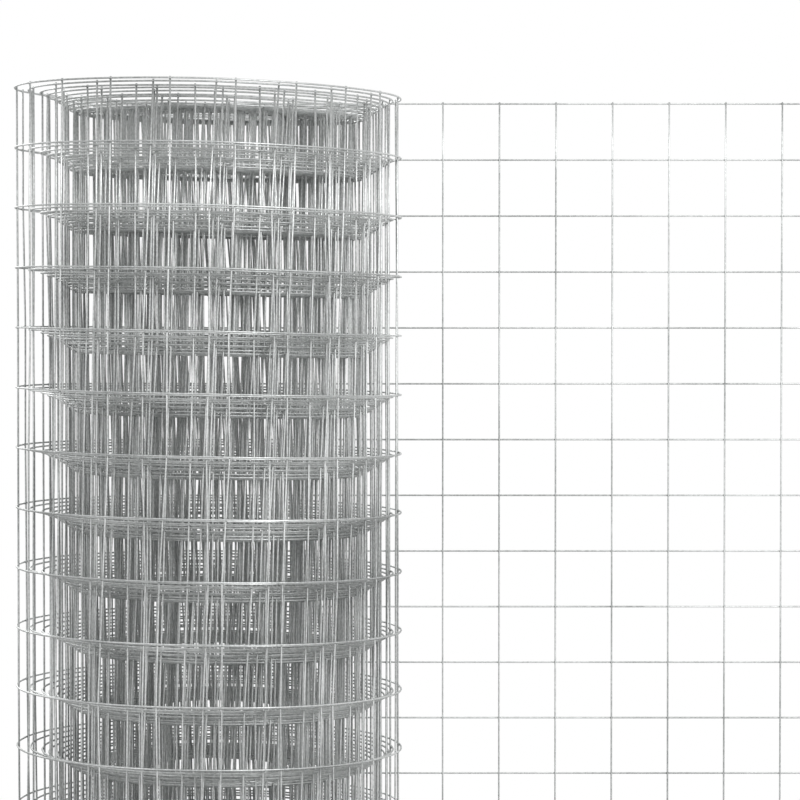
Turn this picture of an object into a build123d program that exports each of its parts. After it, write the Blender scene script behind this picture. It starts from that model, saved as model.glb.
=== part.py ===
"""Roll of galvanised welded-mesh fencing, stood on end with its last stretch drawn out flat.

The stock is one length of square welded mesh: line wires run along it and cross wires run
up it, and the two are welded where they cross.  The wound part is one turned solid with its
bore.  The roll has slipped along its axis.  Each of its outer turns sits a little lower than
the one outside it and shows on both ends as a ring the thickness of the mesh, and the roll
stands on the turns inside them, which show as two broad steps.  The last few turns have
sprung open to one side, and the outermost one leaves the back of the roll along its tangent
as a flat run of open mesh.

Units are millimetres.  +Z is the axis of the roll, with the origin at the centre of the
bore on the floor.  The flat run leaves the back of the roll, at +Y, and runs towards +X.
"""

import os

from build123d import *

# The mesh, with its line wires on the outside of the roll and its cross wires inside
wire_diameter = 1.6
cell_height = 50.0  # from one line wire to the next
cell_width = 50.5  # from one cross wire to the next
cell_rows = 20
cross_wire_overhang = 1.5  # past the first and the last line wire
line_wire_overhang = 1.5  # past the last cross wire

# The tight core, whose turns lie against each other
bore_radius = 52.1
core_turn_pitch = 3.3  # radial, from each turn to the next
core_steps = (14, 7, 1, 1, 1, 1, 1)  # turns that share a level, inner ones first

# The loose turns, inner one first: the clear gap to the turn inside, on the open side (-X)
# and on the tight side (+X)
loose_turn_gaps = ((3.7, 0.4), (2.2, 0.4), (6.9, 0.4), (7.9, 4.0))

# The slip along the axis
turn_drop = 2.4  # from each step or loose turn to the one inside it
flat_run_drop = 3.0  # from the outermost turn to the flat run
end_groove_depth = 14.0  # depth of the gap between two loose turns, at each end

# The flat run, measured along X from the point where it leaves the roll
line_wire_start = 12.0
first_free_cross_wire = 47.8
free_cross_wires = 13

mesh_thickness = 2 * wire_diameter
mesh_height = cell_rows * cell_height + 2 * cross_wire_overhang
core_radius = bore_radius + sum(core_steps) * core_turn_pitch

# Height above the floor of the lower end of each step of the core and of each loose turn,
# inner ones first
step_levels = [step * turn_drop for step in range(len(core_steps) + len(loose_turn_gaps))]


def loose_turn_circles():
    """Centre x and outer radius of each loose turn, inner one first."""
    circles = []
    open_reach = core_radius
    tight_reach = core_radius
    for open_gap, tight_gap in loose_turn_gaps:
        open_reach += open_gap + mesh_thickness
        tight_reach += tight_gap + mesh_thickness
        circles.append(((tight_reach - open_reach) / 2, (tight_reach + open_reach) / 2))
    return circles


# Wound part: tight turns round the bore, then the loose turns round them
with BuildPart() as rolled_mesh:
    # Tight turns, each step at its own level
    inner_face = bore_radius
    with BuildSketch(Plane.XZ):
        for turns, level in zip(core_steps, step_levels):
            width = turns * core_turn_pitch
            with Locations((inner_face, level)):
                Rectangle(width, mesh_height, align=(Align.MIN, Align.MIN))
            inner_face += width
    revolve(axis=Axis.Z)

    # Loose turns, opened to one side, with what lies between them up to the foot of each gap
    inside_x, inside_radius = 0.0, core_radius
    for step, (centre_x, radius) in enumerate(loose_turn_circles(), start=len(core_steps)):
        with BuildSketch(Plane.XY.offset(step_levels[step])):
            with Locations((centre_x, 0)):
                Circle(radius)
                Circle(radius - mesh_thickness, mode=Mode.SUBTRACT)
        extrude(amount=mesh_height)
        low = step_levels[step] + end_groove_depth
        high = step_levels[step - 1] + mesh_height - end_groove_depth
        with BuildSketch(Plane.XY.offset(low)):
            with Locations((centre_x, 0)):
                Circle(radius - mesh_thickness)
            with Locations((inside_x, 0)):
                Circle(inside_radius, mode=Mode.SUBTRACT)
        extrude(amount=high - low)
        inside_x, inside_radius = centre_x, radius
rolled_mesh.part.label = "rolled_mesh"

# Flat run: the outermost turn carried on along its tangent at the back of the roll
leaving_x, outer_radius = loose_turn_circles()[-1]
flat_run_level = step_levels[-1] - flat_run_drop
line_wire_y = outer_radius - wire_diameter / 2
cross_wire_y = line_wire_y - wire_diameter
flat_length = first_free_cross_wire + (free_cross_wires - 1) * cell_width + line_wire_overhang

with BuildPart() as flat_run:
    # Line wires, starting flush on the round of the outermost turn
    with BuildSketch(Plane.YZ.offset(leaving_x + line_wire_start)):
        for row in range(cell_rows + 1):
            wire_z = flat_run_level + cross_wire_overhang + row * cell_height
            with Locations((line_wire_y, wire_z)):
                Rectangle(wire_diameter, wire_diameter)
    extrude(amount=flat_length - line_wire_start)
    with BuildSketch(Plane.XY):
        with Locations((leaving_x, 0)):
            Circle(outer_radius)
    extrude(amount=flat_run_level + mesh_height, mode=Mode.SUBTRACT)

    # Cross wires, fused to the line wires where they cross
    with BuildSketch(Plane.XY.offset(flat_run_level)):
        for wire in range(free_cross_wires):
            wire_x = leaving_x + first_free_cross_wire + wire * cell_width
            with Locations((wire_x, cross_wire_y)):
                Rectangle(wire_diameter, wire_diameter)
    extrude(amount=mesh_height)
flat_run.part.label = "flat_run"

os.makedirs("parts", exist_ok=True)
for piece in (rolled_mesh, flat_run):
    export_step(piece.part, f"parts/{piece.part.label}.step")
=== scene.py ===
import math
import bpy
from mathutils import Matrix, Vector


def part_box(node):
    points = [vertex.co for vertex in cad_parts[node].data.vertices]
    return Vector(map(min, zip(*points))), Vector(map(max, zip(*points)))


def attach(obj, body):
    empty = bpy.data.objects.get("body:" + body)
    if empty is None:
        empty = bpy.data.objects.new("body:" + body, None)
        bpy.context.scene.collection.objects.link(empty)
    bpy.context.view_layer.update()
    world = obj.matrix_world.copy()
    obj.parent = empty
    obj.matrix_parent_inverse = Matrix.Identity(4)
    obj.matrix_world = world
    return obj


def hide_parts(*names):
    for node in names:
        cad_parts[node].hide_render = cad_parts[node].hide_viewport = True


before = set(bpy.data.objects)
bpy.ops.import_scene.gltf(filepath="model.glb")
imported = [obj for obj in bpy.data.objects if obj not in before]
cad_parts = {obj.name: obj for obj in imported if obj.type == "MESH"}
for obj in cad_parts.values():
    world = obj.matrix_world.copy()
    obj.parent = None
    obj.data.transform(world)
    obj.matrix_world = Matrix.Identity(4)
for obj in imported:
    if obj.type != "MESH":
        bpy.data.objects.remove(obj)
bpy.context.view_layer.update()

# Everything is in metres.  The strip of mesh is modelled flat, with X along it, Z up and its line wires on
# the side of +Y.  It is then wound from its inner end outwards, clockwise as seen from above.

# The mesh
wire_radius = 0.0008
wire_sides = 6
cell_height = 0.050
cell_rows = 20
cross_wire_overhang = 0.0015
line_wire_overhang = 0.0015
mesh_height = cell_rows * cell_height + 2 * cross_wire_overhang

# The welds press the wires together to this share of their thickness.  A bead is given by its half-sizes
# along, across and up the mesh.
pressed_share = 0.97
line_wire_side = wire_radius * pressed_share
cross_wire_side = -line_wire_side
weld_bead_radii = (0.00145, 0.0012, 0.00125)

# The turns, outer one first: each circle's centre along X and its radius to the middle of the mesh
loose_turns = ((-0.00775, 0.16205), (-0.0058, 0.1529), (-0.00255, 0.14605), (-0.00165, 0.14155))
core_turns = 26
core_radius = 0.1363
core_turn_pitch = 0.0033
turn_count = len(loose_turns) + core_turns

# The share by which the outer tight turns lie closer than their pitch, and the inner ones wider
core_slack = 0.05

# How much of a turn is round before it moves in to the next one
step_starts_at = 0.70

# The flat run, from where the strip leaves the roll to its free end
flat_run_low, flat_run_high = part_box("flat_run")
flat_run_level = flat_run_low[2]
leaving_x = loose_turns[0][0]
leaving_y = flat_run_high[1] - 2 * wire_radius
free_end_x = flat_run_high[0]
flat_cell_width = 0.0505
free_cross_wires = 13
first_free_cross_wire = free_end_x - line_wire_overhang - (free_cross_wires - 1) * flat_cell_width

# The slip of the turns, each lower than the one outside it, down to those that stand on the floor
slip_per_turn = 0.0022
floor_clearance = 0.0003

# The unevenness of the slip: a slow and a quick wave, the waves in each turn, and the turns they grow over
slow_lift = 0.0006
slow_waves = 0.37
quick_lift = 0.0004
quick_waves = 1.63
lift_grows_over = 2.0

# The cross wires in the roll: how far their tops lean back along the strip, how far they have all crept back
# where it was pulled round the roll, and how they wander
rolled_cell_width = 0.0506
inner_lean = 0.0400
outer_lean = 0.0040
lean_wave = 0.0180
lean_waves = 26.2
creep = 0.0150
sway = 0.0110
sway_size = 0.12

# The lattice that leans them: its columns along the strip, and its reach to each side of it
lean_columns = 41
lean_reach = 0.01

# The wires' own waviness: of both across the mesh, inwards from its place, and of the line wires up and down
ripple = 0.0007
ripple_size = 0.07
line_wander = 0.0010
line_wander_size = 0.30

# How far the roll's top has settled, up or down, and the reach of the lattice that moves it
settle_left = 0.0030
settle_front = 0.0019
settle_right = -0.0056
settle_reach = 0.18

# How finely the wires and their path are divided, and how many line wires are in each of the roll's sets
path_points_per_turn = 96
line_sections_per_cell = 4
flat_line_sections = 52
rolled_cross_sections = cell_rows // 2
flat_cross_sections = cell_rows
line_wires_per_set = 7
merge_distance = 1e-5

# The zinc: its two colours, how fine its marks are, the ramps that set off its patches and specks, and the
# patches' share in its dullness
bright_zinc = (0.69, 0.705, 0.70, 1.0)
dull_zinc = (0.35, 0.362, 0.358, 1.0)
patch_fineness = 9.0
run_fineness = 90.0
speck_fineness = 420.0
patch_stops = ((0.38, 0.0), (0.62, 1.0))
speck_stops = ((0.42, 0.0), (0.60, 1.0))
patch_share = 0.65

# The zinc's shine, what its dull marks and its runs add to its roughness, and the relief of its grain
zinc_metallic = 0.7
zinc_roughness = 0.34
dull_roughness = 0.16
run_roughness = 0.06
speck_relief_share = 0.6
grain_strength = 0.35
grain_depth = 0.00012

# The floor, which ends before it comes into the picture behind the roll
floor_radius = 2.4
floor_middle = (0.2, 0.0, 0.0)
floor_sides = 96
floor_pale = 0.87
floor_mottled = 0.84
mottling_fineness = 5.0
floor_roughness = 0.9
floor_specular = 0.1

# The lamps: name, place, width and power in watts.  They all point at lit_place, and room_light is the light
# that comes from all round.
lamps = (("key", (1.7, -2.6, 1.9), 1.2, 80.0),
         ("fill", (-1.8, -2.4, 1.6), 1.6, 12.0),
         ("back", (-1.2, 2.8, 2.2), 2.0, 45.0))
lit_place = (0.15, 0.0, 0.6)
room_light = 0.11

# The camera, with its sensor and lens in millimetres and its downward pitch in degrees
camera_place = (0.15323, -2.720, 0.848)
camera_sensor = 36.0
camera_lens = 144.90
camera_pitch = 1.789


def select_only(obj):
    bpy.ops.object.select_all(action="DESELECT")
    obj.select_set(True)
    bpy.context.view_layer.objects.active = obj


def new_primitive(name, add, **settings):
    """Add a primitive at its size and place, and bring its object to the origin."""
    bpy.ops.object.select_all(action="DESELECT")
    add(**settings)
    piece = bpy.context.object
    piece.name = name
    select_only(piece)
    bpy.ops.object.transform_apply(location=True, rotation=True, scale=True)
    return piece


def apply_modifier(obj, kind, **settings):
    """Add a modifier of this kind with these settings, and apply it."""
    select_only(obj)
    modifier = obj.modifiers.new(kind.title(), kind)
    for name, value in settings.items():
        setattr(modifier, name, value)
    bpy.ops.object.modifier_apply(modifier=modifier.name)


def repeat(obj, count, x=0.0, y=0.0, z=0.0, joined=False):
    """Repeat the piece in a row, with each copy moved on by x, y and z."""
    apply_modifier(obj, "ARRAY", count=count, use_relative_offset=False, use_constant_offset=True,
                   constant_offset_displace=(x, y, z), use_merge_vertices=joined,
                   merge_threshold=merge_distance)


def make_uneven(obj, name, direction, strength, size, mid_level=0.5):
    """Push a flat piece about in one direction, by clouds of this size."""
    clouds = bpy.data.textures.new(name, "CLOUDS")
    clouds.noise_scale = size
    clouds.noise_depth = 1
    apply_modifier(obj, "DISPLACE", texture=clouds, direction=direction, texture_coords="LOCAL",
                   strength=strength, mid_level=mid_level)


def wire(name, start, end, sections):
    """A closed wire from start to end, divided into sections along its length so that it can bend."""
    span = [(b - a) / sections for a, b in zip(start, end)]
    middle = [a + s / 2 for a, s in zip(start, span)]
    lying = abs(span[0]) > abs(span[2])
    piece = new_primitive(name, bpy.ops.mesh.primitive_cylinder_add, vertices=wire_sides, radius=wire_radius,
                          depth=math.hypot(*span), end_fill_type="NOTHING", location=middle,
                          rotation=(0.0, math.pi / 2 if lying else 0.0, 0.0))
    repeat(piece, sections, *span, joined=True)
    bpy.ops.object.mode_set(mode="EDIT")
    bpy.ops.mesh.select_all(action="SELECT")
    bpy.ops.mesh.fill_holes(sides=0)
    bpy.ops.mesh.select_all(action="SELECT")
    bpy.ops.mesh.normals_make_consistent(inside=False)
    bpy.ops.object.mode_set(mode="OBJECT")
    return piece


def weld_bead(name, x, y, z):
    """The lump of zinc over one crossing, flattened a little across the mesh."""
    return new_primitive(name, bpy.ops.mesh.primitive_ico_sphere_add, subdivisions=1, radius=1.0,
                         location=(x, y, z), scale=weld_bead_radii)


def row_height(row):
    return cross_wire_overhang + row * cell_height


def turn_circle(turn):
    """Centre along X and middle radius of a turn, counted inwards from the outer one, number 0."""
    if turn < len(loose_turns):
        return loose_turns[turn]
    tight_turn = min(turn, turn_count - 1) - len(loose_turns)
    slack = 1 - core_slack * (1 - tight_turn / (core_turns - 1))
    return 0.0, core_radius - tight_turn * core_turn_pitch * slack


def path_level(turns_in):
    """Height of the strip's lower edge this many turns in: it slips down to the floor, unevenly."""
    lift = slow_lift * (1 - math.cos(2 * math.pi * slow_waves * turns_in)) / 2
    lift += quick_lift * (1 - math.cos(2 * math.pi * quick_waves * turns_in)) / 2
    slipped = max(flat_run_level - slip_per_turn * turns_in, floor_clearance)
    return slipped + lift * min(turns_in, lift_grows_over) / lift_grows_over


def path_point(turns_in):
    """The point on the strip's path this many turns in from where the strip leaves the roll."""
    turn = min(int(turns_in), turn_count - 1)
    part = turns_in - turn
    step = min(max((part - step_starts_at) / (1 - step_starts_at), 0.0), 1.0)
    step = step * step * (3 - 2 * step)
    outer_x, outer_r = turn_circle(turn)
    inner_x, inner_r = turn_circle(turn + 1)
    centre_x = outer_x + (inner_x - outer_x) * step
    radius = outer_r + (inner_r - outer_r) * step
    angle = math.pi / 2 + 2 * math.pi * part
    return (centre_x + radius * math.cos(angle), radius * math.sin(angle), path_level(turns_in))


def winding_path():
    """The line that the flat strip is wound along, from its inner end outwards, and its length."""
    steps = turn_count * path_points_per_turn
    points = [path_point(turn_count * (1 - i / steps)) for i in range(steps + 1)]
    curve = bpy.data.curves.new("winding_path", "CURVE")
    curve.dimensions = "3D"
    curve.twist_mode = "Z_UP"
    spline = curve.splines.new("POLY")
    spline.points.add(len(points) - 1)
    for point, place in zip(spline.points, points):
        point.co = (*place, 1.0)
    path = bpy.data.objects.new("winding_path", curve)
    bpy.context.collection.objects.link(path)
    length = sum(math.dist(a, b) for a, b in zip(points, points[1:]))
    return path, length


def lattice(name, low, high, columns, rows, levels):
    """A lattice round the box from low to high, with its points at even steps."""
    cage = bpy.data.lattices.new(name)
    cage.points_u, cage.points_v, cage.points_w = columns, rows, levels
    for direction in ("u", "v", "w"):
        setattr(cage, f"interpolation_type_{direction}", "KEY_LINEAR")
    holder = bpy.data.objects.new(name, cage)
    holder.location = [(a + b) / 2 for a, b in zip(low, high)]
    holder.scale = [b - a for a, b in zip(low, high)]
    bpy.context.collection.objects.link(holder)
    return holder


def leaning_lattice(length):
    """Sets the cross wires back except at the outer end, and leans them, further at the inner end."""
    cage = lattice("leaning", (0.0, -lean_reach, 0.0), (length, lean_reach, mesh_height), lean_columns, 2, 2)
    last_column = 1 - 0.5 / lean_columns
    for point in cage.data.points:
        along = point.co.x + 0.5
        back = creep if along < last_column else 0.0
        if point.co.z > 0:
            back += inner_lean + (outer_lean - inner_lean) * along
            back += lean_wave * math.sin(2 * math.pi * lean_waves * along)
        point.co_deform.x -= back / length
    return cage


def settling_lattice():
    """Moves the top of the roll: up at the left and in front, down at the right."""
    cage = lattice("settling", (-settle_reach, -settle_reach, 0.0), (settle_reach, settle_reach, mesh_height),
                   3, 3, 2)
    for point in cage.data.points:
        if point.co.z > 0:
            move = settle_front * max(-2 * point.co.y, 0.0)
            move += settle_right * max(2 * point.co.x, 0.0) + settle_left * max(-2 * point.co.x, 0.0)
            point.co_deform.z += move / mesh_height
    return cage


def wind(obj, path, leaning, settling, on_cross_wires=False, on_line_wires=False):
    """Wind a flat piece of the strip onto the roll, with the unevenness of the wires that it is part of."""
    if on_cross_wires:
        make_uneven(obj, "sway", "X", sway, sway_size)
        apply_modifier(obj, "LATTICE", object=leaning)
    make_uneven(obj, "ripple", "Y", ripple, ripple_size, mid_level=1.0)
    if on_line_wires:
        make_uneven(obj, "wander", "Z", line_wander, line_wander_size)
    apply_modifier(obj, "CURVE", object=path, deform_axis="POS_X")
    apply_modifier(obj, "LATTICE", object=settling)


def rolled_pieces():
    """The wound part of the strip: its line wires in three sets, its cross wires and its welds."""
    path, length = winding_path()
    leaning = leaning_lattice(length)
    settling = settling_lattice()
    sections = round(length / (flat_cell_width / line_sections_per_cell))
    made = []
    for first_row in range(0, cell_rows + 1, line_wires_per_set):
        z = row_height(first_row)
        lines = wire(f"roll_line_wires_{first_row // line_wires_per_set + 1}", (0.0, line_wire_side, z),
                     (length, line_wire_side, z), sections)
        repeat(lines, line_wires_per_set, z=cell_height)
        wind(lines, path, leaning, settling, on_line_wires=True)
        made.append(lines)
    wires = int((length - inner_lean - lean_wave - creep) / rolled_cell_width)
    last_x = length - (rolled_cell_width - (first_free_cross_wire - leaving_x))
    first_x = last_x - (wires - 1) * rolled_cell_width
    crossing = wire("roll_cross_wires", (first_x, cross_wire_side, 0.0),
                    (first_x, cross_wire_side, mesh_height), rolled_cross_sections)
    repeat(crossing, wires, x=rolled_cell_width)
    wind(crossing, path, leaning, settling, on_cross_wires=True)
    made.append(crossing)
    welds = weld_bead("roll_welds", first_x, 0.0, row_height(0))
    repeat(welds, cell_rows + 1, z=cell_height)
    repeat(welds, wires, x=rolled_cell_width)
    wind(welds, path, leaning, settling, on_cross_wires=True, on_line_wires=True)
    made.append(welds)
    for helper in (path, leaning, settling):
        bpy.data.objects.remove(helper)
    return made


def flat_pieces():
    """The stretch of mesh that stands out straight from the back of the roll."""
    y_line = leaving_y + line_wire_side
    y_cross = leaving_y + cross_wire_side
    z_lowest = flat_run_level + row_height(0)
    lines = wire("run_line_wires", (leaving_x, y_line, z_lowest), (free_end_x, y_line, z_lowest),
                 flat_line_sections)
    repeat(lines, cell_rows + 1, z=cell_height)
    crossing = wire("run_cross_wires", (first_free_cross_wire, y_cross, flat_run_level),
                    (first_free_cross_wire, y_cross, flat_run_level + mesh_height), flat_cross_sections)
    repeat(crossing, free_cross_wires, x=flat_cell_width)
    welds = weld_bead("run_welds", first_free_cross_wire, leaving_y, z_lowest)
    repeat(welds, cell_rows + 1, z=cell_height)
    repeat(welds, free_cross_wires, x=flat_cell_width)
    return [lines, crossing, welds]


class Maths:
    """A socket whose sums add Math nodes."""

    def __init__(self, shader, socket):
        self.shader = shader
        self.socket = socket

    def other(self, output):
        """Another output of the same node."""
        return Maths(self.shader, self.socket.node.outputs[output])

    def _math(self, operation, left, right):
        return self.shader.add("ShaderNodeMath", {"operation": operation}, {0: left, 1: right})

    def __add__(self, other):
        return self._math("ADD", self, other)

    def __radd__(self, other):
        return self._math("ADD", other, self)

    def __mul__(self, other):
        return self._math("MULTIPLY", self, other)

    def __rmul__(self, other):
        return self._math("MULTIPLY", other, self)


class Shader:
    """A tree of nodes that is built one node at a time."""

    def __init__(self, tree):
        self.tree = tree

    def add(self, kind, settings=None, values=None, output=0):
        """Add a node, set it up, and give or link its sockets."""
        node = self.tree.nodes.new(kind)
        for name, value in (settings or {}).items():
            if name == "stops":
                self.set_stops(node, value)
            else:
                setattr(node, name, value)
        for socket, value in (values or {}).items():
            self.put(node, socket, value)
        return Maths(self, node.outputs[output] if node.outputs else None)

    def set_stops(self, node, stops):
        """Place a ramp's two stops, each with its shade of grey."""
        for element, (place, shade) in zip(node.color_ramp.elements, stops):
            element.position = place
            element.color = grey(shade)

    def put(self, node, socket, value):
        """Give a node's socket a value or a link."""
        if isinstance(value, Maths):
            self.tree.links.new(value.socket, node.inputs[socket])
        else:
            node.inputs[socket].default_value = value


def grey(shade):
    return (shade, shade, shade, 1.0)


def noise(shader, place, fineness, detail):
    return shader.add("ShaderNodeTexNoise", {}, {"Vector": place, "Scale": fineness, "Detail": detail})


def blend(shader, share, first, second):
    """A colour between two others.  The Mix node has its colours at inputs 6 and 7 and output 2."""
    return shader.add("ShaderNodeMix", {"data_type": "RGBA"}, {"Factor": share, 6: first, 7: second},
                      output=2)


def new_material(name):
    """A material, the tree it is built in, and its surface node."""
    material = bpy.data.materials.new(name)
    material.use_nodes = True
    return material, Shader(material.node_tree), material.node_tree.nodes["Principled BSDF"]


def galvanised_wire():
    """Drawn wire with a hot zinc coat: bright, dulled in patches, with runs and specks."""
    material, shader, surface = new_material("galvanised_wire")
    place = shader.add("ShaderNodeTexCoord", output="Object")
    patches = noise(shader, place, patch_fineness, 3.0)
    specks = noise(shader, place, speck_fineness, 4.0)
    runs = noise(shader, place, run_fineness, 2.0)
    dullness = shader.add("ShaderNodeValToRGB", {"stops": patch_stops}, {"Fac": patches})
    speckle = shader.add("ShaderNodeValToRGB", {"stops": speck_stops}, {"Fac": specks})
    tone = patch_share * dullness + (1 - patch_share) * speckle
    grain = speck_relief_share * specks + (1 - speck_relief_share) * runs
    relief = shader.add("ShaderNodeBump", {},
                        {"Strength": grain_strength, "Distance": grain_depth, "Height": grain})
    shader.put(surface, "Base Color", blend(shader, tone, bright_zinc, dull_zinc))
    shader.put(surface, "Metallic", zinc_metallic)
    shader.put(surface, "Roughness", zinc_roughness + dull_roughness * tone + run_roughness * runs)
    shader.put(surface, "Normal", relief)
    return material


def pale_floor():
    material, shader, surface = new_material("pale_floor")
    place = shader.add("ShaderNodeTexCoord", output="Object")
    mottling = noise(shader, place, mottling_fineness, 2.0)
    shader.put(surface, "Base Color", blend(shader, mottling, grey(floor_pale), grey(floor_mottled)))
    shader.put(surface, "Roughness", floor_roughness)
    shader.put(surface, "Specular IOR Level", floor_specular)
    return material


def lay_floor():
    floor = new_primitive("floor", bpy.ops.mesh.primitive_circle_add, vertices=floor_sides,
                          radius=floor_radius, fill_type="NGON", location=floor_middle)
    floor.data.materials.append(pale_floor())


def area_light(name, place, size, power):
    """A soft square lamp at a place, turned towards the lit place."""
    light = bpy.data.lights.new(name, "AREA")
    light.shape = "SQUARE"
    light.size = size
    light.energy = power
    lamp = bpy.data.objects.new(name, light)
    lamp.location = place
    away = [a - b for a, b in zip(place, lit_place)]
    lamp.rotation_euler = (math.atan2(math.hypot(away[0], away[1]), away[2]), 0.0,
                           math.atan2(away[1], away[0]) + math.pi / 2)
    bpy.context.collection.objects.link(lamp)


def light_the_studio():
    """White surroundings for the camera and in reflections, and a plainer light on everything else."""
    for name, place, size, power in lamps:
        area_light(name, place, size, power)
    world = bpy.data.worlds.new("studio")
    bpy.context.scene.world = world
    world.use_nodes = True
    world.node_tree.nodes.clear()
    shader = Shader(world.node_tree)
    ray = shader.add("ShaderNodeLightPath", output="Is Camera Ray")
    white_shows = ray + ray.other("Is Glossy Ray") + ray.other("Is Transmission Ray")
    plain = shader.add("ShaderNodeBackground", {}, {"Color": grey(room_light)})
    white = shader.add("ShaderNodeBackground", {}, {"Color": grey(1.0)})
    surroundings = shader.add("ShaderNodeMixShader", {}, {0: white_shows, 1: plain, 2: white})
    shader.add("ShaderNodeOutputWorld", {}, {"Surface": surroundings})


def set_camera():
    """In front of the middle of the picture and looking down a little, with a long lens."""
    data = bpy.data.cameras.new("camera")
    data.sensor_width = camera_sensor
    data.lens = camera_lens
    camera = bpy.data.objects.new("camera", data)
    camera.location = camera_place
    camera.rotation_euler = (math.radians(90.0 - camera_pitch), 0.0, 0.0)
    bpy.context.collection.objects.link(camera)
    bpy.context.scene.camera = camera


def finish_piece(piece, node, material):
    select_only(piece)
    bpy.ops.object.shade_smooth()
    piece.data.materials.clear()
    piece.data.materials.append(material)
    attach(piece, "root")
    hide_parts(node)


zinc = galvanised_wire()
for piece in rolled_pieces():
    finish_piece(piece, "rolled_mesh", zinc)
for piece in flat_pieces():
    finish_piece(piece, "flat_run", zinc)
lay_floor()
light_the_studio()
set_camera()
bpy.context.scene.view_settings.view_transform = "Standard"
